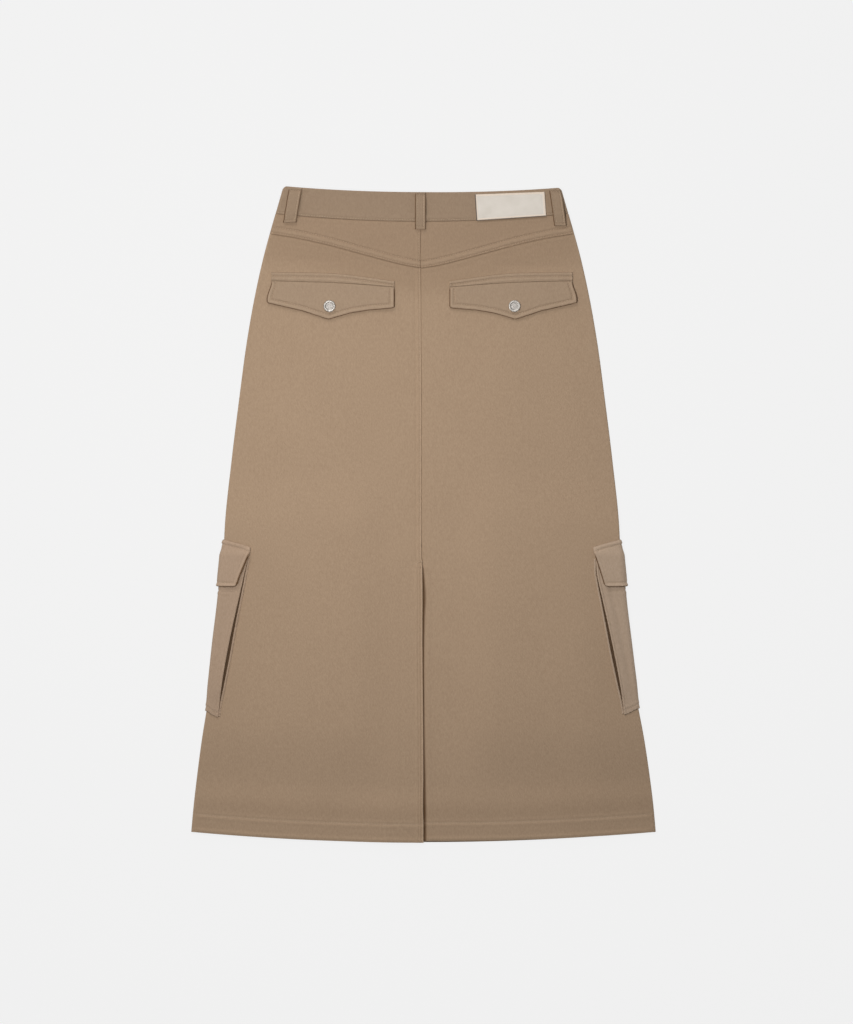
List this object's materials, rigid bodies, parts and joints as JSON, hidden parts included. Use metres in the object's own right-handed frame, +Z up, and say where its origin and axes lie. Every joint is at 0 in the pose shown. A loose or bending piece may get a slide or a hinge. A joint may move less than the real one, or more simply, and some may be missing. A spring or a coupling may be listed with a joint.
{
  "type": "cargo utility skirt, laid flat",
  "caption": "Long A-line cargo skirt of tan cotton twill laid flat, back side up: waistband with belt loops, V yoke, pointed snap flaps, back vent and side cargo pockets.",
  "frame": {"origin": "on the surface the skirt lies on, under the middle of its box", "axes": "+Y towards the waist, +Z up out of the back side, +X to the right when the back is looked down on with the waist at the top"},
  "size_m": [0.557, 0.7862, 0.013],
  "materials": {
    "twill": "matte brushed cotton twill",
    "patch": "matte blank leather",
    "nickel": "satin nickel plate"
  },
  "bodies": {
    "root": {"back_flap_left": "twill", "back_flap_right": "twill", "back_left": "twill", "back_right": "twill", "back_welt_left": "twill", "back_welt_right": "twill", "belt_loop_back_centre": "twill", "belt_loop_back_left": "twill", "belt_loop_back_right": "twill", "belt_loop_front_left": "twill", "belt_loop_front_right": "twill", "cargo_bellows_left": "twill", "cargo_bellows_right": "twill", "cargo_flap_left": "twill", "cargo_flap_right": "twill", "cargo_pocket_left": "twill", "cargo_pocket_right": "twill", "front_left": "twill", "front_right": "twill", "snap_left": "nickel", "snap_right": "nickel", "waist_button": "nickel", "waist_patch": "patch", "waistband_back": "twill", "waistband_front_left": "twill", "waistband_front_right": "twill", "yoke_left": "twill", "yoke_right": "twill"}
  },
  "joints": []
}
